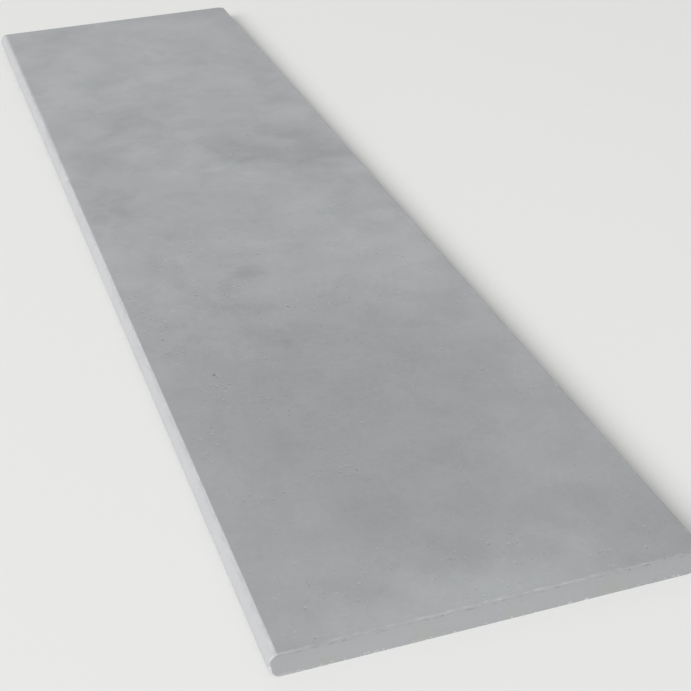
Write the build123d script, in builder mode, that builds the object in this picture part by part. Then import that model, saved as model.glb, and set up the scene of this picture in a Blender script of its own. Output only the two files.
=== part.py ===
"""Bullnose coping stone: one slab of smooth grey stone with a rounded front edge.

Millimetres, +Z up. X runs along the stone, the nose faces -Y and the square back faces +Y.
The origin is in the middle of the bed, on the surface that the stone lies on.
"""

import os

from build123d import *

# Driving dimensions of the slab
length = 1400.0
width = 330.0
thickness = 20.0

# The nose stands this far out from the front line of the flat top
nose_projection = 7.0

# Rubbed arris on the ends and the back. The bed's own edges are left as sawn.
arris = 1.0

# Lines of the cross-section, measured along Y
nose_tip = -width / 2
nose_line = nose_tip + nose_projection
back = width / 2

# The shoulder is where an end's arris starts, measured along X from the middle
shoulder = length / 2 - arris

with BuildPart() as coping_stone:
    # The whole cross-section at the shoulder, and the one drawn in by the arris at the very end.
    # Its nose is one arc, which meets the flat top and the bed in two crisp lines.
    for inset in (0, arris):
        section_top = thickness - inset
        section_back = back - inset
        with BuildSketch(Plane.YZ.offset(shoulder + inset)):
            with BuildLine():
                Polyline(
                    (nose_line, section_top),
                    (section_back - arris, section_top),
                    (section_back, section_top - arris),
                    (section_back, 0),
                    (nose_line, 0),
                )
                ThreePointArc(
                    (nose_line, 0),
                    (nose_tip + inset, thickness / 2),
                    (nose_line, section_top),
                )
            make_face()
    end_arris = loft(ruled=True)

    # The slab runs from the shoulder to the middle, and its other half is the same
    shoulder_face = end_arris.faces().sort_by(Axis.X)[0]
    extrude(shoulder_face, amount=shoulder)
    mirror(about=Plane.YZ)

coping_stone.part.label = "coping_stone"

os.makedirs("parts", exist_ok=True)
export_step(coping_stone.part, "parts/coping_stone.step")
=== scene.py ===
"""A bullnose coping stone on a studio floor, with rubbed arrises, pits, chips and a clouded grey finish."""

import math
import random

import bmesh
import bpy
from bpy.props import FloatProperty, FloatVectorProperty, IntProperty, PointerProperty
from mathutils import Matrix, Quaternion, Vector


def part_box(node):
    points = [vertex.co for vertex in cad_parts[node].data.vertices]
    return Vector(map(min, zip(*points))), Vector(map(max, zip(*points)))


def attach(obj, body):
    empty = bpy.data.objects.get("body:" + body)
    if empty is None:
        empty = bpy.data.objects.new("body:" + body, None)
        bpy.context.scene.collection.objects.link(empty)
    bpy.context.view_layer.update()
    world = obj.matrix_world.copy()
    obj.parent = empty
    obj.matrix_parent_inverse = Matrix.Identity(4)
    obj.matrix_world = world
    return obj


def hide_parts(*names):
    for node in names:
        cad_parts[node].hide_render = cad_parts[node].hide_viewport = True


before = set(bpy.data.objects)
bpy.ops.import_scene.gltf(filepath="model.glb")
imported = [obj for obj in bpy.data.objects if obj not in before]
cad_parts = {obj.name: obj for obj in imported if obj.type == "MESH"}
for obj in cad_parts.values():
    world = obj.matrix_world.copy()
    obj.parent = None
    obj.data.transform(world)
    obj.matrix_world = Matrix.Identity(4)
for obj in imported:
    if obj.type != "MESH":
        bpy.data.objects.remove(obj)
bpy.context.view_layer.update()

bl_info = {
    "name": "Bullnose coping stone",
    "version": (1, 0, 0),
    "blender": (4, 5, 0),
    "location": "3D View > Sidebar > Coping",
    "description": "Models a honed and sawn coping stone with a bullnose, and lights it on a studio floor",
    "category": "Object",
}

STONE_LOW, STONE_HIGH = (Vector(corner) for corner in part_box("coping_stone"))
MILLIMETRE = 0.001

# Anything closer than this counts as lying on the same line or face
TOUCH = 0.02 * MILLIMETRE

# Soft clouds in the stone: how far the middle of each lies from the right end and from the back, its
# half lengths along and across the stone (all in metres), and how much lighter, or darker below zero
CLOUDS = (
    (0.275, 0.175, 0.360, 0.240, -0.085),
    (0.335, 0.080, 0.080, 0.085, -0.025),
    (0.150, 0.210, 0.110, 0.090, -0.025),
    (0.425, 0.222, 0.045, 0.035, -0.050),
    (0.320, 0.235, 0.100, 0.080, -0.015),
    (0.305, 0.035, 0.055, 0.050, -0.055),
    (0.320, 0.205, 0.090, 0.050, -0.030),
    (0.395, 0.292, 0.060, 0.030, -0.045),
    (0.270, 0.270, 0.140, 0.050, -0.035),
    (0.055, 0.012, 0.090, 0.060, -0.070),
    (0.000, 0.200, 0.070, 0.190, 0.115),
    (0.075, 0.072, 0.050, 0.050, -0.075),
    (0.175, 0.145, 0.050, 0.045, -0.045),
    (0.455, 0.075, 0.090, 0.060, 0.050),
    (0.530, 0.225, 0.140, 0.060, -0.035),
    (0.025, 0.063, 0.035, 0.035, -0.045),
    (0.545, 0.195, 0.034, 0.024, -0.070),
    (0.530, 0.200, 0.040, 0.035, -0.055),
    (0.645, 0.230, 0.080, 0.040, -0.045),
    (0.680, 0.018, 0.055, 0.035, 0.040),
    (0.545, 0.255, 0.035, 0.022, -0.045),
    (0.555, 0.055, 0.120, 0.100, 0.065),
    (0.520, 0.025, 0.110, 0.050, 0.050),
    (0.655, 0.095, 0.080, 0.050, 0.030),
    (0.800, 0.010, 0.130, 0.030, -0.040),
    (0.782, 0.035, 0.060, 0.050, -0.060),
    (0.845, 0.060, 0.105, 0.075, -0.090),
    (0.800, 0.110, 0.050, 0.065, -0.080),
    (0.828, 0.130, 0.060, 0.060, -0.095),
    (0.905, 0.092, 0.075, 0.060, -0.050),
    (0.850, 0.042, 0.130, 0.050, -0.040),
    (0.875, 0.132, 0.085, 0.045, -0.085),
    (0.785, 0.150, 0.050, 0.105, 0.070),
    (0.800, 0.225, 0.050, 0.045, 0.035),
    (0.875, 0.225, 0.050, 0.040, 0.075),
    (0.925, 0.268, 0.050, 0.030, -0.065),
    (0.975, 0.222, 0.095, 0.058, -0.130),
    (1.010, 0.258, 0.050, 0.035, -0.050),
    (0.755, 0.285, 0.075, 0.028, -0.080),
    (0.885, 0.292, 0.075, 0.030, -0.085),
    (1.070, 0.060, 0.050, 0.042, 0.060),
    (1.140, 0.020, 0.070, 0.036, -0.055),
    (1.200, 0.018, 0.080, 0.034, -0.040),
    (1.125, 0.285, 0.090, 0.055, 0.060),
    (1.170, 0.170, 0.110, 0.080, 0.038),
    (1.340, 0.010, 0.180, 0.030, -0.050),
    (1.390, 0.050, 0.050, 0.050, -0.045),
    (1.175, 0.060, 0.045, 0.030, -0.045),
    (1.250, 0.190, 0.075, 0.070, -0.065),
    (1.275, 0.270, 0.060, 0.040, -0.070),
    (1.350, 0.232, 0.090, 0.050, -0.045),
    (1.395, 0.165, 0.055, 0.330, -0.035),
    (1.075, 0.230, 0.040, 0.035, -0.045),
)

# Larger pits in the top: how far each lies from the right end and from the back, and its width (m)
NAMED_PITS = (
    (0.368, 0.273, 0.0050),
    (0.437, 0.074, 0.0038),
    (0.461, 0.116, 0.0032),
    (0.288, 0.228, 0.0030),
    (0.185, 0.203, 0.0030),
    (0.286, 0.296, 0.0032),
    (0.268, 0.196, 0.0026),
    (0.532, 0.093, 0.0034),
    (0.585, 0.257, 0.0034),
    (0.417, 0.159, 0.0030),
    (0.894, 0.099, 0.0038),
    (0.577, 0.224, 0.0028),
    (0.130, 0.040, 0.0022),
    (0.080, 0.177, 0.0020),
    (0.180, 0.115, 0.0022),
)

# Chips under the right end's top arris: how far each lies from the back, and its length (m)
NAMED_CHIPS = (
    (0.018, 0.0035),
    (0.031, 0.0030),
    (0.045, 0.0070),
    (0.060, 0.0035),
    (0.074, 0.0055),
    (0.082, 0.0045),
    (0.117, 0.0050),
    (0.144, 0.0040),
    (0.157, 0.0050),
    (0.165, 0.0050),
    (0.185, 0.0070),
    (0.204, 0.0030),
    (0.215, 0.0050),
    (0.238, 0.0055),
    (0.263, 0.0030),
    (0.284, 0.0060),
    (0.296, 0.0055),
)

# Corners knocked off, each along a plane through three points: how far each point lies from the
# right end, from the back and above the bed (m)
KNOCKED_CORNERS = (
    ((0, 0.3288, 0.0080), (0, 0.32495, 0.0012), (0.0025, 0.32875, 0.0050)),
    ((0, 0.3280, 0.0120), (0, 0.3270, 0.0050), (0.0018, 0.3298, 0.0090)),
    ((1.400, 0.009, 0.020), (1.394, 0, 0.020), (1.400, 0, 0.004)),
)

# Faint stains low on the right end: how far the middle of each lies from the back and above the
# bed, and its half length and half height (m)
STAINS = (
    (0.073, 0.007, 0.018, 0.012),
    (0.149, 0.004, 0.016, 0.008),
    (0.216, 0.004, 0.015, 0.014),
    (0.291, 0.003, 0.015, 0.007),
)

# Pale grazes on the right end, in the same four lengths (m)
GRAZES = (
    (0.3185, 0.0004, 0.0100, 0.0026),
)


class CopingSizes(bpy.types.PropertyGroup):
    """Sizes of the slab's form, pits and chips."""

    nose_projection: FloatProperty(
        name="Nose projection", description="How far the nose stands out from the top's front line",
        default=7 * MILLIMETRE, min=0, unit="LENGTH")
    nose_steps: IntProperty(
        name="Nose steps", description="Flats round the nose before it is shaded smooth", default=36, min=8)
    arris: FloatProperty(
        name="Arris", description="Width rubbed off the top's back and end edges",
        default=1 * MILLIMETRE, min=0, unit="LENGTH")
    arris_steps: IntProperty(
        name="Arris steps", description="Flats across the rubbed arris", default=3, min=1)
    long_cells: IntProperty(
        name="Cells along", description="Cells along the stone", default=56, min=1)
    cross_cells: IntProperty(
        name="Cells across", description="Cells across the stone", default=13, min=1)
    top_pits: IntProperty(
        name="Pits in the top", description="Small pits strewn over the top", default=150, min=0)
    sawn_pits: IntProperty(
        name="Pits in the sawn sides", description="Small pits in the back and the two ends",
        default=20, min=0)
    bed_pits: IntProperty(
        name="Pits in the bed", description="Small pits in the bed", default=110, min=0)
    pit_width: FloatProperty(
        name="Pit width", description="Usual width of a small pit",
        default=1.3 * MILLIMETRE, min=0, unit="LENGTH")
    chips_per_metre: FloatProperty(
        name="Chips per metre", description="Small chips along each metre of an edge", default=34, min=0)
    rubs_per_metre: FloatProperty(
        name="Rubs per metre", description="Long shallow flats along each metre of a rubbed arris",
        default=9, min=0)
    chip_length: FloatProperty(
        name="Chip length", description="Usual length of a chip along its edge",
        default=2.4 * MILLIMETRE, min=0, unit="LENGTH")
    seed: IntProperty(name="Seed", description="Seed of the pits and chips", default=11)


class CopingFinish(bpy.types.PropertyGroup):
    """Colours and texture of the stone's faces."""

    top_colour: FloatVectorProperty(
        name="Top", description="Colour of the honed top", size=3, subtype="COLOR",
        default=(0.3463, 0.3563, 0.3655), min=0, max=1)
    # The nose's colour is partly the ground finish's own paler tone and partly painted light, as if the
    # lamp lit the nose more than the top
    nose_colour_and_light: FloatVectorProperty(
        name="Nose", description="Colour of the ground nose", size=3, subtype="COLOR",
        default=(0.446, 0.453, 0.460), min=0, max=1)
    # The sawn colour is partly the sawn faces' own tone and partly painted light, which makes the right end
    # as bright as if the lamp lit it more than the top
    sawn_colour: FloatVectorProperty(
        name="Sawn faces", description="Colour of the ends, the back and the bed", size=3,
        subtype="COLOR", default=(0.393, 0.4025, 0.413), min=0, max=1)
    rubbed_colour: FloatVectorProperty(
        name="Rubbed stone", description="Colour of the rubbed arrises", size=3, subtype="COLOR",
        default=(0.349, 0.3575, 0.364), min=0, max=1)
    broken_colour: FloatVectorProperty(
        name="Broken stone", description="Colour of fresh chips in the bed's edges", size=3,
        subtype="COLOR", default=(0.600, 0.602, 0.585), min=0, max=1)
    # Painted shade in pits and chips, which grows with their depth
    pit_shade: FloatProperty(
        name="Pit shade", description="How much darker a pit is than the face round it",
        default=0.22, min=0, max=1, subtype="FACTOR")
    stain_colour: FloatVectorProperty(
        name="Stains", description="What the faint stains leave of the stone's own colour", size=3,
        subtype="COLOR", default=(1.0, 1.0, 0.95), min=0, max=1)
    # Makes the colour lighter along the stone towards its left end, by this much per metre
    drift: FloatProperty(
        name="Drift", description="How much lighter the stone grows along each metre, towards its left end",
        default=0.06)
    cloud_strength: FloatProperty(
        name="Clouds", description="Strength of the large clouds", default=1.0, min=0)
    mottle_strength: FloatProperty(
        name="Mottle", description="Strength of the soft mottle between the clouds", default=0.19, min=0)
    grain_strength: FloatProperty(
        name="Grain", description="Strength of the fine grain", default=0.09, min=0)
    # Strength of the painted shade and highlights of the small speck pits, and of the fine dark lines
    pit_light_and_hair_strength: FloatProperty(
        name="Flecks", description="How much lighter or darker a fleck is", default=0.26, min=0)
    # Painted shade of the broken line under the arrises
    dash_shade_strength: FloatProperty(
        name="Dashes", description="How much darker the broken line under the arrises is",
        default=0.13, min=0)
    roughness: FloatProperty(
        name="Roughness", description="Roughness of the honed top", default=0.66, min=0, max=1,
        subtype="FACTOR")
    nose_roughness: FloatProperty(
        name="Nose roughness", description="Roughness of the ground nose", default=0.5, min=0, max=1,
        subtype="FACTOR")
    bump: FloatProperty(
        name="Bump", description="Height of the finest grain",
        default=0.10 * MILLIMETRE, min=0, unit="LENGTH")


class CopingStudio(bpy.types.PropertyGroup):
    """The floor, the lamp and the camera."""

    floor_size: FloatProperty(
        name="Floor", description="Length of the floor's sides", default=14.0, min=1, unit="LENGTH")
    floor_colour: FloatVectorProperty(
        name="Floor colour", description="Colour of the floor", size=3, subtype="COLOR",
        default=(0.80, 0.80, 0.79), min=0, max=1)
    sky_strength: FloatProperty(
        name="Sky", description="Strength of the even light from all round", default=0.53, min=0)
    key_power: FloatProperty(
        name="Key lamp", description="Power of the large soft lamp in watts", default=2150.0, min=0)
    key_size: FloatProperty(
        name="Key size", description="Side of the large soft lamp", default=8.0, min=0, unit="LENGTH")
    key_place: FloatVectorProperty(
        name="Key place", description="Where the large soft lamp stands", size=3, subtype="TRANSLATION",
        default=(6.7, -11.5, 8.8))
    camera_place: FloatVectorProperty(
        name="Camera place", description="Where the camera stands", size=3, subtype="TRANSLATION",
        default=(1.44772, -0.33850, 0.70122))
    camera_target: FloatVectorProperty(
        name="Camera target", description="The point at the middle of the picture", size=3,
        subtype="TRANSLATION", default=(0.29255, 0.02603, 0.0))
    camera_roll: FloatProperty(
        name="Camera roll", description="Turn of the camera about its line of sight",
        default=math.radians(-1.968), subtype="ANGLE")
    lens: FloatProperty(
        name="Lens", description="Focal length in millimetres on a 36 mm sensor", default=78.247, min=1)


def deselect_all():
    """Leaves nothing selected, so that an operator acts only on what comes next."""
    bpy.ops.object.select_all(action="DESELECT")


def finish_editing():
    """Back to object mode, with nothing selected."""
    bpy.ops.object.mode_set(mode="OBJECT")
    deselect_all()


def make_active(piece):
    """Selects this piece alone and makes it the active one."""
    deselect_all()
    piece.select_set(True)
    bpy.context.view_layer.objects.active = piece


def pick(piece, kind, test):
    """Selects, in edit mode, the piece's edges or faces that pass the test, and nothing else."""
    bpy.ops.mesh.select_mode(type=kind)
    bpy.ops.mesh.select_all(action="DESELECT")
    mesh = bmesh.from_edit_mesh(piece.data)
    for part in mesh.edges if kind == "EDGE" else mesh.faces:
        part.select_set(test(part))
    bmesh.update_edit_mesh(piece.data)


def whole(part, test):
    """True if the test holds at every corner of the edge or face."""
    return all(test(corner.co) for corner in part.verts)


def runs_along(edge, axis):
    """True if the edge is parallel to that axis, 0 for X, 1 for Y or 2 for Z."""
    span = edge.verts[1].co - edge.verts[0].co
    return abs(span[axis]) > 0.999 * span.length


class Slab:
    """The lines of the slab that its operators work by, in metres."""

    def __init__(self, sizes):
        self.left, self.right = STONE_LOW.x, STONE_HIGH.x
        self.tip, self.back = STONE_LOW.y, STONE_HIGH.y
        self.bed, self.top = STONE_LOW.z, STONE_HIGH.z
        self.length = self.right - self.left
        self.nose_line = self.tip + sizes.nose_projection
        self.width = self.back - self.nose_line
        half_height = (self.top - self.bed) / 2
        self.nose_radius = (sizes.nose_projection**2 + half_height**2) / (2 * sizes.nose_projection)
        self.axis_y = self.tip + self.nose_radius
        self.axis_z = self.bed + half_height
        self.nose_turn = 2 * math.asin(half_height / self.nose_radius)
        self.arris = sizes.arris

        # How far the rounded arris lies inwards from the line of the edge that was rubbed off
        self.rubbed = sizes.arris * (math.sqrt(2) - 1)

        # Pits keep this far from the edges, and chips this far or only the small gap from the corners
        self.clear = 6 * MILLIMETRE
        self.gap = self.clear / 3

    def at_end(self, point):
        return min(abs(point.x - self.left), abs(point.x - self.right)) < TOUCH

    def on_flat(self, face):
        """True for the flat faces: the top, the bed, the back and the ends."""
        planes = (
            lambda point: abs(point.z - self.top) < TOUCH,
            lambda point: abs(point.z - self.bed) < TOUCH,
            lambda point: abs(point.y - self.back) < TOUCH,
            lambda point: abs(point.x - self.left) < TOUCH,
            lambda point: abs(point.x - self.right) < TOUCH,
        )
        return any(whole(face, plane) for plane in planes)


def model_block(slab, name):
    """A block as large as the slab, cut off at the nose's front line and left open there."""
    deselect_all()
    bpy.ops.mesh.primitive_cube_add(size=1, location=(STONE_LOW + STONE_HIGH) / 2)
    block = bpy.context.active_object
    block.name = name
    block.scale = STONE_HIGH - STONE_LOW
    bpy.ops.object.transform_apply(location=True, rotation=True, scale=True)
    bpy.ops.object.mode_set(mode="EDIT")
    bpy.ops.mesh.select_all(action="SELECT")
    bpy.ops.mesh.bisect(plane_co=(0, slab.nose_line, 0), plane_no=(0, 1, 0), clear_inner=True)
    return block


def spin_nose(block, slab, steps):
    """Spins the front line of the top down to the bed, and closes the two ends."""
    pick(block, "EDGE", lambda edge: whole(
        edge, lambda point: point.z > slab.top - TOUCH and point.y < slab.nose_line + TOUCH))
    bpy.ops.mesh.spin(
        steps=steps, angle=-slab.nose_turn, center=(0, slab.axis_y, slab.axis_z), axis=(1, 0, 0))
    bpy.ops.mesh.select_all(action="SELECT")
    bpy.ops.mesh.remove_doubles(threshold=TOUCH)
    for end in (slab.left, slab.right):
        pick(block, "EDGE", lambda edge: edge.is_boundary and whole(
            edge, lambda point: abs(point.x - end) < TOUCH))
        bpy.ops.mesh.edge_face_add()
    pick(block, "EDGE", lambda edge: runs_along(edge, 2) and whole(
        edge, lambda point: abs(point.y - slab.nose_line) < TOUCH))
    bpy.ops.mesh.dissolve_edges(use_verts=False)
    bpy.ops.mesh.select_all(action="SELECT")
    bpy.ops.mesh.normals_make_consistent(inside=False)


def rub_arrises(block, slab, steps):
    """Bevels the ends' outlines and the top's back edge, but not the bed's own edges."""
    def to_rub(edge):
        on_bed = whole(edge, lambda point: point.z < slab.bed + TOUCH)
        end_outline = whole(edge, slab.at_end) and not runs_along(edge, 0)
        back_top = whole(edge, lambda point: point.y > slab.back - TOUCH and point.z > slab.top - TOUCH)
        return not on_bed and (end_outline or back_top)

    pick(block, "EDGE", to_rub)
    bpy.ops.mesh.bevel(
        offset=slab.arris, segments=steps, profile=0.5, affect="EDGES", clamp_overlap=False)


def corner_points(slab, corner):
    """The three points of a knocked corner's plane."""
    return [
        Vector((slab.right - from_right, slab.back - from_back, slab.bed + height))
        for from_right, from_back, height in corner
    ]


def knock_corner(block, points):
    """Cuts off the corner that lies outside the plane through these three points."""
    first, second, third = points
    outward = (second - first).cross(third - first).normalized()
    if outward.dot(first) < 0:
        outward = -outward
    bpy.ops.mesh.select_mode(type="FACE")
    bpy.ops.mesh.select_all(action="SELECT")
    bpy.ops.mesh.bisect(plane_co=first, plane_no=outward, clear_outer=True, use_fill=True)


def cut_cells(block, slab, sizes):
    """Cuts the slab into cells, with a narrow margin beside each rubbed arris."""
    margin = 3 * slab.arris
    cuts = [
        (0, slab.left + margin), (0, slab.right - margin), (1, slab.back - margin), (2, slab.top - margin)]
    for step in range(1, sizes.long_cells):
        cuts.append((0, slab.left + step * slab.length / sizes.long_cells))
    for step in range(1, sizes.cross_cells):
        cuts.append((1, slab.nose_line + step * slab.width / sizes.cross_cells))
    bpy.ops.mesh.select_mode(type="FACE")
    for axis, place in cuts:
        point, normal = Vector(), Vector()
        point[axis], normal[axis] = place, 1
        bpy.ops.mesh.select_all(action="SELECT")
        bpy.ops.mesh.bisect(plane_co=point, plane_no=normal)


def model_grit(name, seed):
    """A rough lump one unit across. Its print in the slab is a pit or a chip."""
    deselect_all()
    bpy.ops.mesh.primitive_ico_sphere_add(subdivisions=2, radius=0.5, location=(0, 0, 0))
    grit = bpy.context.active_object
    grit.name = name
    bpy.ops.object.mode_set(mode="EDIT")
    bpy.ops.mesh.select_all(action="SELECT")
    bpy.ops.transform.vertex_random(offset=0.09, seed=seed)
    finish_editing()
    return grit


class Prints:
    """The pits and chips to be cut: copies of a few lumps, none of which touch one another."""

    def __init__(self, grits, seed):
        self.grits = grits
        self.random = random.Random(seed)
        self.taken = []
        self.copies = []

    def is_free(self, place, reach):
        return all((place - other).length > reach + far for other, far in self.taken)

    def add(self, place, turn, size):
        """Adds a copy of a lump there, if it stays clear of the others."""
        # Half of its longest side, and some room round it
        reach = max(size) * 0.62
        grit = self.random.choice(self.grits)
        if not self.is_free(place, reach):
            return
        self.taken.append((place, reach))
        copy = grit.copy()
        copy.data = grit.data.copy()
        bpy.context.collection.objects.link(copy)
        copy.matrix_world = Matrix.LocRotScale(place, turn, Vector(size))
        self.copies.append(copy)

    def pit(self, point, outward, width):
        """A shallow bowl in a face."""
        depth = width * self.random.uniform(0.35, 0.6)
        stretch = self.random.uniform(1.0, 1.5)
        spin = Quaternion((0, 0, 1), self.random.uniform(0, math.tau))
        turn = Vector(outward).to_track_quat("Z", "Y") @ spin
        place = Vector(point) + Vector(outward) * depth * 0.2
        self.add(place, turn, (width * stretch, width / stretch, depth))

    def strew(self, count, low, high, outward, width):
        """Strews small pits at random over a rectangle between two corners."""
        for _ in range(count):
            point = Vector([self.random.uniform(a, b) for a, b in zip(low, high)])
            self.pit(point, outward, width * self.random.choice((0.6, 0.75, 0.9, 1.0, 1.25, 1.7)))

    def chip(self, point, along, inward, length, girth, bite):
        """A lump laid along an edge, which bites that deep into it."""
        flip = Quaternion((0, 0, 1), self.random.choice((0, math.pi)))
        turn = along.to_track_quat("X", "Z") @ flip
        self.add(point + inward * (bite - girth / 2), turn, (length, girth, girth))

    def nibble(self, start, end, inward, per_metre, length, surface):
        """Small chips along an edge. The stone's surface lies that far inwards from the edge's line."""
        start, end, inward = Vector(start), Vector(end), Vector(inward).normalized()
        along = (end - start).normalized()
        for _ in range(round((end - start).length * per_metre)):
            point = start.lerp(end, self.random.uniform(0.004, 0.996))
            long = length * self.random.choice((0.5, 0.7, 1.0, 1.0, 1.5, 2.2))
            girth = min(long, length) * self.random.uniform(0.5, 0.8)
            bite = surface + girth * self.random.uniform(0.2, 0.4)
            self.chip(point, along, inward, long, girth, bite)

    def join(self):
        """Makes one mesh of all the lumps and returns its object."""
        deselect_all()
        for copy in self.copies:
            copy.select_set(True)
        bpy.context.view_layer.objects.active = self.copies[0]
        bpy.ops.object.join()
        bpy.ops.object.transform_apply(location=True, rotation=True, scale=True)
        return bpy.context.active_object


def place_pits(prints, slab, sizes):
    """Places the pits of the top, the bed, the ends and the back."""
    for from_right, from_back, width in NAMED_PITS:
        prints.pit((slab.right - from_right, slab.back - from_back, slab.top), (0, 0, 1), width)
    near = (slab.left + slab.clear, slab.nose_line + slab.clear)
    far = (slab.right - slab.clear, slab.back - slab.clear)
    prints.strew(sizes.top_pits, (*near, slab.top), (*far, slab.top), (0, 0, 1), sizes.pit_width)
    prints.strew(sizes.bed_pits, (*near, slab.bed), (*far, slab.bed), (0, 0, -1), sizes.pit_width * 1.3)
    low, high = slab.bed + slab.clear / 2, slab.top - slab.clear / 2
    for end, outward in ((slab.right, 1), (slab.left, -1)):
        prints.strew(
            sizes.sawn_pits // 10, (end, near[1], low), (end, far[1], high), (outward, 0, 0),
            sizes.pit_width * 0.6)
    prints.strew(
        sizes.sawn_pits * 4 // 5, (near[0], slab.back, low), (far[0], slab.back, high), (0, 1, 0),
        sizes.pit_width)


def rub_unevenly(prints, slab, sizes):
    """Places long shallow flats along the arrises, where the stone rubbed harder, and small chips."""
    arrises = []
    for end, inward in ((slab.right, -1), (slab.left, 1)):
        arrises.append((
            (end, slab.nose_line + slab.gap, slab.top), (end, slab.back - slab.gap, slab.top),
            (inward, 0, -1)))
    arrises.append((
        (slab.left + slab.gap, slab.back, slab.top), (slab.right - slab.gap, slab.back, slab.top),
        (0, -1, -1)))
    for start, end, inward in arrises:
        line = Vector(end) - Vector(start)
        for _ in range(round(line.length * sizes.rubs_per_metre)):
            point = Vector(start) + line * prints.random.uniform(0.02, 0.98)
            length = prints.random.uniform(8, 26) * MILLIMETRE
            girth = prints.random.uniform(1.6, 2.6) * MILLIMETRE
            bite = slab.rubbed + prints.random.uniform(0.04, 0.12) * MILLIMETRE
            prints.chip(point, line.normalized(), Vector(inward).normalized(), length, girth, bite)
        prints.nibble(start, end, inward, sizes.chips_per_metre, sizes.chip_length, slab.rubbed)


def chip_under_arris(prints, slab):
    """Places the chips that broke out under the right end's arris."""
    for from_back, length in NAMED_CHIPS:
        place = Vector((slab.right, slab.back - from_back, slab.top - 2.0 * slab.arris))
        girth = prints.random.uniform(0.8, 1.15) * MILLIMETRE
        prints.chip(place, Vector((0, 1, 0)), Vector((-1, 0, 0)), length, girth, 0.42 * girth)


def chip_edges(prints, slab, sizes):
    """Places small chips in the bed's edges, the upright back corners and the nose's two lines."""
    often, short = sizes.chips_per_metre, sizes.chip_length * 0.8
    for end, inward in ((slab.right, -1), (slab.left, 1)):
        prints.nibble(
            (end, slab.nose_line, slab.bed), (end, slab.back - slab.gap, slab.bed), (inward, 0, 1),
            often, short, 0)
        prints.nibble(
            (end, slab.back, slab.bed + slab.gap), (end, slab.back, slab.top - slab.gap),
            (inward, -1, 0), often * 3, short, slab.rubbed)
    left, right = slab.left + slab.clear, slab.right - slab.clear
    prints.nibble((left, slab.back, slab.bed), (right, slab.back, slab.bed), (0, -1, 1), often, short, 0)
    prints.nibble(
        (left, slab.nose_line, slab.bed), (right, slab.nose_line, slab.bed), (0, 0.2, 1), often * 0.3,
        sizes.chip_length * 0.6, 0)
    prints.nibble(
        (left, slab.nose_line, slab.top), (right, slab.nose_line, slab.top), (0, 0.5, -1), often * 0.5,
        sizes.chip_length * 0.7, 0)


def cut_prints(stone, cutter):
    """Cuts the lumps' prints into the stone, and takes the lumps away."""
    make_active(stone)
    prints = stone.modifiers.new("prints", "BOOLEAN")
    prints.operation = "DIFFERENCE"
    prints.solver = "EXACT"
    prints.object = cutter
    bpy.ops.object.modifier_apply(modifier=prints.name)
    bpy.data.objects.remove(cutter)
    bpy.ops.object.mode_set(mode="EDIT")
    bpy.ops.mesh.select_all(action="SELECT")

    # The Boolean's order changes from run to run, so the mesh is sorted before its shortest edges go.
    # That makes the result the same each time.
    bpy.ops.mesh.sort_elements(type="CURSOR_DISTANCE", elements={"VERT", "EDGE", "FACE"})
    bpy.ops.mesh.dissolve_degenerate(threshold=TOUCH / 4)
    finish_editing()


def shade_faces(stone, slab):
    """Shades the nose, arrises, pits and chips smooth, and leaves the flat faces flat."""
    make_active(stone)
    bpy.ops.object.shade_smooth_by_angle(angle=math.radians(40))
    bpy.ops.object.mode_set(mode="EDIT")
    pick(stone, "FACE", slab.on_flat)
    bpy.ops.mesh.faces_shade_flat()
    finish_editing()


class Wire:
    """One number, vector or colour in a material or a world. Sums on it add Math nodes."""

    def __init__(self, finish, socket):
        self.finish = finish
        self.socket = socket

    def maths(self, operation, *values):
        return self.finish.node("ShaderNodeMath", {"operation": operation}, dict(enumerate(values)))

    def __add__(self, other):
        return self.maths("ADD", self, other)

    def __sub__(self, other):
        return self.maths("SUBTRACT", self, other)

    def __rsub__(self, other):
        return self.maths("SUBTRACT", other, self)

    def __mul__(self, other):
        return self.maths("MULTIPLY", self, other)

    def __pow__(self, other):
        return self.maths("POWER", self, other)

    def __abs__(self):
        return self.maths("ABSOLUTE", self)

    __radd__ = __add__
    __rmul__ = __mul__

    def least(self, other):
        return self.maths("MINIMUM", self, other)

    def most(self, other):
        return self.maths("MAXIMUM", self, other)

    def above(self, limit):
        return self.maths("GREATER_THAN", self, limit)

    def below(self, limit):
        return self.maths("LESS_THAN", self, limit)

    def fade(self, start, end):
        """0 at the start, 1 at the end, and soft at both."""
        if start > end:
            return 1 - self.fade(end, start)
        return self.finish.node(
            "ShaderNodeMapRange", {"interpolation_type": "SMOOTHSTEP"},
            {"Value": self, "From Min": start, "From Max": end})

    def scaled(self, factor):
        """A colour or vector times a number."""
        return self.finish.node("ShaderNodeVectorMath", {"operation": "SCALE"}, {0: self, "Scale": factor})

    def moved(self, other):
        """A vector plus another."""
        return self.finish.node("ShaderNodeVectorMath", {"operation": "ADD"}, {0: self, 1: other})

    def other(self, name):
        """Another output of the same node."""
        return Wire(self.finish, self.socket.node.outputs[name])


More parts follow.
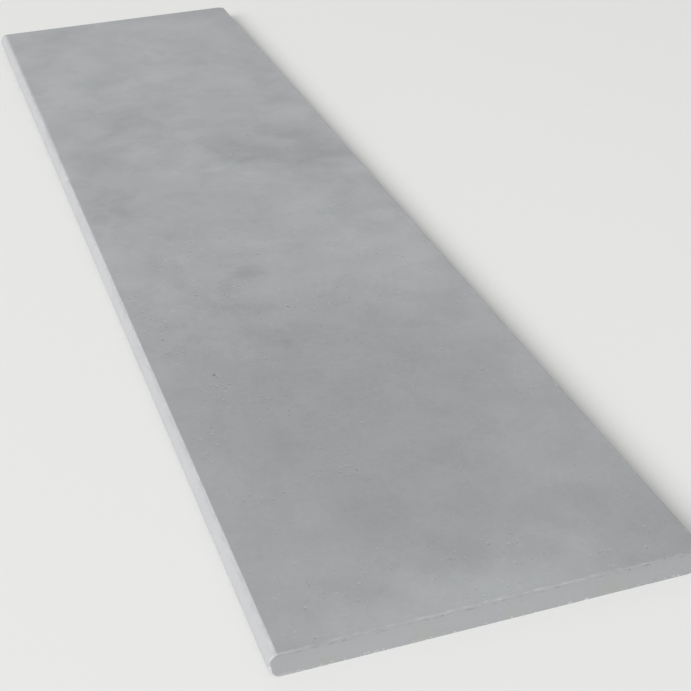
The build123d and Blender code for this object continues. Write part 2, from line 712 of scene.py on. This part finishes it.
class Finish:
    """The nodes of a material or a world, which are added by type, settings and sockets."""

    def __init__(self, owner, shader="Principled BSDF"):
        owner.use_nodes = True
        self.owner = owner
        self.tree = owner.node_tree
        self.shader = self.tree.nodes[shader]

    def node(self, kind, settings, inputs, output=0):
        node = self.tree.nodes.new(kind)
        for name, value in settings.items():
            setattr(node, name, value)
        for name, value in inputs.items():
            self.feed(node.inputs[name], value)
        return Wire(self, node.outputs[output])

    def feed(self, socket, value):
        if isinstance(value, Wire):
            self.tree.links.new(value.socket, socket)
        elif socket.type == "RGBA":
            socket.default_value = (*value, 1)
        else:
            socket.default_value = value

    def mix(self, share, one, other, blend="MIX"):
        """The one colour where the share is 0, and the other mixed into it where it is 1."""
        return self.node(
            "ShaderNodeMix", {"data_type": "RGBA", "blend_type": blend}, {0: share, 6: one, 7: other},
            output=2)

    def noise(self, place, size, detail=2.0, roughness=0.5, swirl=0.0):
        """Soft noise from about -0.5 to 0.5, whose lumps are about that many metres across."""
        return self.node("ShaderNodeTexNoise", {}, {
            "Vector": place, "Scale": 1 / size, "Detail": detail, "Roughness": roughness,
            "Distortion": swirl}) - 0.5

    def ragged(self, place, size, reach, detail=2.0, roughness=0.5):
        """The place, moved about by noise of that size, so that outlines drawn there turn ragged."""
        push = self.node(
            "ShaderNodeTexNoise", {},
            {"Vector": place, "Scale": 1 / size, "Detail": detail, "Roughness": roughness}, output="Color")
        return place.moved(push.moved((-0.5, -0.5, -0.5)).scaled(reach))

    def stretched(self, place, scale):
        """The place, scaled along each axis."""
        return self.node("ShaderNodeMapping", {"vector_type": "POINT"}, {"Vector": place, "Scale": scale})

    def specks(self, place, spacing, share, width):
        """Small soft spots, some fainter than others. That share of the cells of that spacing holds one."""
        spot = self.node("ShaderNodeTexVoronoi", {}, {"Vector": place, "Scale": 1 / spacing})
        chance = self.node("ShaderNodeSeparateColor", {}, {0: spot.other("Color")})
        half = width / spacing / 2
        return spot.fade(half * 1.4, half * 0.5) * chance.below(share) * (0.4 + 0.6 * chance.other("Green"))

    def cloud(self, place, middle, halves, start=0.0, end=0.9):
        """A soft patch, which rises from 0 to 1 between these two shares of the way in from its rim."""
        near = self.node(
            "ShaderNodeMapping", {"vector_type": "TEXTURE"},
            {"Vector": place, "Location": middle, "Scale": halves})
        ball = self.node(
            "ShaderNodeTexGradient", {"gradient_type": "SPHERICAL"}, {"Vector": near}, output=1)
        return ball.fade(start, end)


class Zones:
    """Where the stone's finishes lie: zones that are 1 inside and 0 outside, and distances in metres."""

    def __init__(self, finish, slab):
        self.place = finish.node("ShaderNodeTexCoord", {}, {}, output="Object")
        self.x = finish.node("ShaderNodeSeparateXYZ", {}, {0: self.place})
        y, z = self.x.other("Y"), self.x.other("Z")
        self.in_front = y.below(slab.nose_line)
        self.behind_nose = y - slab.nose_line
        self.from_top = slab.top - z
        self.from_bed = z - slab.bed
        from_end = slab.right - abs(self.x)
        from_back = slab.back - y

        # How deep a point lies behind the nearest face, and behind the second nearest
        from_flat = self.from_top.least(self.from_bed)
        from_nose = slab.nose_radius - ((y - slab.axis_y) ** 2 + (z - slab.axis_z) ** 2) ** 0.5
        nearer, further = from_flat.least(from_back), from_flat.most(from_back)
        nearest, second = nearer.least(from_end), nearer.most(further.least(from_end))
        depth = self.in_front * from_nose.least(from_end) + (1 - self.in_front) * nearest
        second = self.in_front * from_nose.most(from_end) + (1 - self.in_front) * second
        self.from_edge = second + finish.noise(self.place, 3 * MILLIMETRE) * 0.8 * MILLIMETRE

        self.on_nose = self.in_front * from_end.above(0.06 * slab.arris)
        self.sawn = from_end.least(from_back).least(self.from_bed).below(0.3 * slab.arris)
        self.sawn_or_nose = self.sawn.most(self.on_nose)

        # The knocked corners count as edges, and wherever one is cut into, it is crushed
        knocked = 0
        for corner in KNOCKED_CORNERS:
            points = corner_points(slab, corner)
            middle = sum(points, Vector()) / 3
            reach = max((point - middle).length for point in points) * 1.25
            knocked = finish.cloud(self.place, middle, (reach, reach, reach)).above(0) + knocked
        at_edge = self.from_edge.fade(1.4 * slab.arris, 0.9 * slab.arris).most(knocked)
        self.crushed = at_edge * depth.fade(0.01 * MILLIMETRE, 0.06 * MILLIMETRE)
        self.pitted = (1 - at_edge) * depth.fade(0.03 * MILLIMETRE, 0.45 * MILLIMETRE)


class Pattern:
    """The stone's lighter and darker pattern, with some painted light and shade, which its colours are
    multiplied by.
    """

    def __init__(self, finish, slab, look, zones):
        place, x = zones.place, zones.x

        # Large clouds with ragged outlines, which are fainter on the sawn sides and on the nose. The nose
        # grows a little lighter towards its upper line.
        drifted = finish.ragged(place, 60 * MILLIMETRE, 95 * MILLIMETRE, detail=4.0, roughness=0.55)
        # The colour grows lighter along the stone towards its left end
        light = x * -look.drift
        for from_right, from_back, half_length, half_width, strength in CLOUDS:
            middle = (slab.right - from_right, slab.back - from_back, slab.top)
            patch = finish.cloud(drifted, middle, (half_length, half_width, 1), 0.15, 0.75)
            light = patch * (strength * look.cloud_strength) + light
        nose_light = zones.on_nose * 0.02 * zones.from_top.fade(6 * MILLIMETRE, 1 * MILLIMETRE)
        light = light * (1 - zones.sawn_or_nose * 0.8) + nose_light

        # Soft mottle, strongest just left of the middle
        self.mottle = finish.noise(place, 60 * MILLIMETRE, detail=3.0, roughness=0.46, swirl=0.1)
        patches = finish.noise(place, 34 * MILLIMETRE, detail=3.0, swirl=0.2).fade(-0.01, 0.06)
        far = x.fade(-0.4, -0.65)
        calm = x.fade(0.0, 0.5) + 0.45 * far
        soft = (self.mottle + 0.12 * (0.4 - patches)) * (look.mottle_strength * (2.1 - 1.1 * calm))

        # Fine grain, strongest towards the right end
        smudge = finish.noise(place, 6 * MILLIMETRE)
        sand = finish.noise(place, 2.6 * MILLIMETRE, detail=1.0)
        self.grain = finish.noise(place, 1.1 * MILLIMETRE, roughness=0.6)
        fine = smudge * (look.mottle_strength * 0.45) + self.grain * look.grain_strength
        fine = fine + sand * (look.grain_strength * 0.6)
        close = x.fade(-0.5, 0.35)

        # Crowds of dark specks, painted shade of small pits that also get a dent, each with a pale one
        # beside it, a painted highlight of the pit's lit rim, and of fine dark lines, strongest just right
        # of the middle
        crowd = 0.4 + 0.6 * finish.noise(place, 75 * MILLIMETRE, detail=3.0).fade(-0.02, 0.07)
        torn = finish.ragged(place, 3 * MILLIMETRE, 6 * MILLIMETRE)
        beside = torn.moved((1.6 * MILLIMETRE, -0.3 * MILLIMETRE, 0))
        self.dark, pale = (
            finish.specks(where, 5.5 * MILLIMETRE, 0.6, 1.9 * MILLIMETRE) * crowd
            for where in (torn, beside))
        hair = abs(finish.noise(place, 6 * MILLIMETRE, detail=1.0)).fade(0.018, 0.004)
        hair = hair * finish.noise(place, 8 * MILLIMETRE, detail=1.0).fade(0.05, 0.12) * crowd
        busy = (1.35 - 0.65 * x.fade(0.25, 0.65)) * (0.55 + 0.45 * x.fade(-0.1, 0.12) - 0.3 * far)
        pit_light_and_hairlines = (pale * 1.25 - self.dark * 1.2 - hair * 0.4) * busy * look.pit_light_and_hair_strength

        speckle = (fine * (0.15 + 0.85 * close) + pit_light_and_hairlines) * (1 - 0.5 * zones.sawn_or_nose)
        shade = 1 + light + soft * (1 - 0.75 * zones.sawn - 0.45 * zones.on_nose) + speckle

        # Painted shade on the sawn sides: a little darker in their upper part, with a broken darker line
        # under the arris
        shade = shade - 0.018 * zones.from_top.fade(11 * MILLIMETRE, 4 * MILLIMETRE) * zones.sawn
        # The broken line is painted shade, as of the arris's lip and its chips
        shade_dashes = finish.noise(finish.stretched(place, (0.3, 0.3, 1)), 2 * MILLIMETRE).fade(0.02, 0.14)
        lip = abs(zones.from_top - 2.2 * slab.arris).fade(1.1 * slab.arris, 0.3 * slab.arris)
        shade = shade * (1 - look.dash_shade_strength * (0.15 + shade_dashes) * lip * zones.sawn)
        # Painted shade in pits and chips, darker the deeper they lie behind the face
        shade = shade * (1 - look.pit_shade * zones.pitted)

        # Faint scuffs on the nose, close to its upper line
        scuff = finish.noise(finish.stretched(place, (0.2, 1, 1)), 2.2 * MILLIMETRE)
        near_line = zones.from_top.fade(2.6 * MILLIMETRE, 0.8 * MILLIMETRE)
        self.shade = shade * (1 + 0.5 * scuff * zones.on_nose * near_line)


def end_patches(finish, slab, place, patches):
    """Soft patches on the right end, added together."""
    total = 0
    for from_back, height, half_length, half_height in patches:
        middle = (slab.right, slab.back - from_back, slab.bed + height)
        total = finish.cloud(place, middle, (4 * MILLIMETRE, half_length, half_height)) + total
    return total


def make_stone(slab, look):
    """The stone's material: honed top, ground nose, sawn sides, crushed edges and pits, with painted light
    and shade.
    """
    finish = Finish(bpy.data.materials.new("honed_grey_stone"))
    zones = Zones(finish, slab)
    pattern = Pattern(finish, slab, look, zones)
    place, sawn, on_nose = zones.place, zones.sawn, zones.on_nose
    # The sawn sides take their colour, partly their own and partly painted light
    colour = finish.mix(sawn, look.top_colour, look.sawn_colour)
    # The nose takes its paler colour, partly its own and partly painted light
    colour = finish.mix(on_nose, colour, look.nose_colour_and_light)

    # The arrises are rubbed unevenly, and fresh stone shows where the bed's edges are crushed
    wear = finish.noise(finish.stretched(place, (0.4, 0.4, 1)), 3 * MILLIMETRE, detail=3.0)
    stretches = finish.noise(place, 28 * MILLIMETRE)
    # In front of the top, the rubbed arrises take the nose's colour, with its painted light
    rubbed = finish.mix(zones.in_front, look.rubbed_colour, look.nose_colour_and_light)
    low_down = zones.from_bed.below(3 * slab.arris)
    fresh = low_down * finish.noise(place, 9 * MILLIMETRE).fade(-0.08, 0.02)
    rubbed = finish.mix(fresh, rubbed, look.broken_colour).scaled(1 + 0.4 * wear + 0.4 * stretches)
    colour = finish.mix(zones.crushed, colour, rubbed)

    # Pale bruises low on the sawn sides, pale stretches of the top's rim, partly rubbed stone and partly
    # painted highlight, and the grazes
    bruised = finish.noise(place, 2.6 * MILLIMETRE).fade(0.10, 0.14)
    bruised = bruised * zones.from_bed.fade(3.0 * slab.arris, 1.4 * slab.arris) * sawn
    # Along the back and the ends, the top's rim is painted paler in stretches: partly rubbed stone, partly
    # a painted highlight of the arrises catching light
    rim = zones.from_edge.fade(2.6 * slab.arris, 1.2 * slab.arris) * (1 - sawn) * (1 - zones.in_front)
    bruised = bruised * 0.85 + rim * finish.noise(place, 10 * MILLIMETRE, detail=3.0).fade(0.0, 0.12) * 0.2
    bruised = end_patches(finish, slab, place, GRAZES) * 0.4 + bruised
    colour = finish.mix(bruised, colour, look.broken_colour)

    # The line behind the nose is worn, most of all towards the left end
    unsteady = finish.noise(finish.stretched(place, (0.4, 1, 1)), 6 * MILLIMETRE)
    widest = zones.x.fade(-0.1, -0.3)
    behind = zones.behind_nose + (unsteady * 3 - widest * 0.6) * MILLIMETRE
    worn = behind.fade(2.4 * slab.arris, 0.5 * slab.arris) * (1 - zones.in_front) * (1 - sawn)
    worn = worn * zones.x.fade(0.3, -0.35) * (0.5 + 0.35 * widest)
    # The worn line takes the nose's colour, with its painted light
    colour = finish.mix(worn, colour, look.nose_colour_and_light)

    stained = end_patches(finish, slab, place, STAINS)
    colour = finish.mix(stained, colour, look.stain_colour, blend="MULTIPLY")
    finish.feed(finish.shader.inputs["Base Color"], colour.scaled(pattern.shade))

    gloss = look.roughness + (look.nose_roughness - look.roughness) * on_nose
    broken = zones.crushed.most(zones.pitted)
    finish.feed(
        finish.shader.inputs["Roughness"],
        gloss + pattern.mottle * 0.12 + pattern.grain * 0.08 + 0.1 * broken)

    # Fine grain everywhere, ground lines along the nose and sawn lines across the sides
    ground = finish.noise(finish.stretched(place, (0.01, 1, 1)), 0.8 * MILLIMETRE) * on_nose
    cut = finish.noise(finish.stretched(place, (1, 1, 0.05)), 1.5 * MILLIMETRE) * sawn
    height = pattern.grain + 0.5 * ground + 0.6 * cut - 0.6 * pattern.dark
    bump = finish.node(
        "ShaderNodeBump", {}, {"Strength": 1.0, "Distance": look.bump, "Height": height})
    finish.feed(finish.shader.inputs["Normal"], bump)
    return finish.owner


class COPING_OT_model_slab(bpy.types.Operator):
    """Model the coping stone with its nose, rubbed arrises, pits and chips"""

    bl_idname = "coping.model_slab"
    bl_label = "Model the stone"

    def execute(self, context):
        sizes = context.scene.coping_sizes
        slab = Slab(sizes)
        stone = model_block(slab, "honed_coping_stone")
        spin_nose(stone, slab, sizes.nose_steps)
        rub_arrises(stone, slab, sizes.arris_steps)
        for corner in KNOCKED_CORNERS:
            knock_corner(stone, corner_points(slab, corner))
        cut_cells(stone, slab, sizes)
        finish_editing()

        grits = [model_grit("grit", sizes.seed + number) for number in range(4)]
        prints = Prints(grits, sizes.seed)
        place_pits(prints, slab, sizes)
        rub_unevenly(prints, slab, sizes)
        chip_under_arris(prints, slab)
        chip_edges(prints, slab, sizes)
        cut_prints(stone, prints.join())
        for grit in grits:
            bpy.data.objects.remove(grit)

        shade_faces(stone, slab)
        stone.data.materials.append(make_stone(slab, context.scene.coping_finish))
        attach(stone, "root")
        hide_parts("coping_stone")
        return {"FINISHED"}


class COPING_OT_set_stage(bpy.types.Operator):
    """Set the floor, the lamp and the camera"""

    bl_idname = "coping.set_stage"
    bl_label = "Set the stage"

    def execute(self, context):
        studio = context.scene.coping_studio
        deselect_all()
        bpy.ops.mesh.primitive_plane_add(size=studio.floor_size, location=(0, 0, STONE_LOW.z))
        floor = context.active_object
        floor.name = "studio_floor"
        paint = Finish(bpy.data.materials.new("pale_floor"))
        paint.feed(paint.shader.inputs["Base Color"], studio.floor_colour)
        paint.feed(paint.shader.inputs["Roughness"], 0.9)
        floor.data.materials.append(paint.owner)

        bpy.ops.object.light_add(type="AREA", location=studio.key_place)
        key = context.active_object
        key.data.energy = studio.key_power
        key.data.size = studio.key_size
        key.rotation_mode = "QUATERNION"
        key.rotation_quaternion = (-Vector(studio.key_place)).to_track_quat("-Z", "Y")

        world = context.scene.world or bpy.data.worlds.new("studio")
        context.scene.world = world
        sky = Finish(world, "Background")
        path = sky.node("ShaderNodeLightPath", {}, {})
        shown = path.most(path.other("Is Glossy Ray")).most(path.other("Is Transmission Ray"))
        sky.feed(sky.shader.inputs["Color"], (1, 1, 1))
        sky.feed(
            sky.shader.inputs["Strength"], studio.sky_strength + shown * (1 - studio.sky_strength))

        bpy.ops.object.camera_add(location=studio.camera_place)
        camera = context.active_object
        camera.data.lens = studio.lens
        camera.data.sensor_width = 36
        sight = Vector(studio.camera_target) - Vector(studio.camera_place)
        camera.rotation_mode = "QUATERNION"
        roll = Quaternion((0, 0, 1), studio.camera_roll)
        camera.rotation_quaternion = sight.to_track_quat("-Z", "Y") @ roll
        context.scene.camera = camera
        context.scene.view_settings.view_transform = "Standard"
        return {"FINISHED"}


class COPING_PT_panel(bpy.types.Panel):
    """Sizes, finish and stage of the coping stone"""

    bl_idname = "COPING_PT_panel"
    bl_label = "Bullnose coping stone"
    bl_space_type = "VIEW_3D"
    bl_region_type = "UI"
    bl_category = "Coping"

    def draw(self, context):
        scene = context.scene
        for group in (scene.coping_sizes, scene.coping_finish, scene.coping_studio):
            box = self.layout.box()
            for name in group.__annotations__:
                box.prop(group, name)
        self.layout.operator(COPING_OT_model_slab.bl_idname)
        self.layout.operator(COPING_OT_set_stage.bl_idname)


CLASSES = (
    CopingSizes,
    CopingFinish,
    CopingStudio,
    COPING_OT_model_slab,
    COPING_OT_set_stage,
    COPING_PT_panel,
)


def register():
    for item in CLASSES:
        bpy.utils.register_class(item)
    bpy.types.Scene.coping_sizes = PointerProperty(type=CopingSizes)
    bpy.types.Scene.coping_finish = PointerProperty(type=CopingFinish)
    bpy.types.Scene.coping_studio = PointerProperty(type=CopingStudio)


def unregister():
    del bpy.types.Scene.coping_studio
    del bpy.types.Scene.coping_finish
    del bpy.types.Scene.coping_sizes
    for item in reversed(CLASSES):
        bpy.utils.unregister_class(item)


def main():
    register()
    bpy.ops.coping.model_slab()
    bpy.ops.coping.set_stage()


if __name__ == "__main__":
    main()
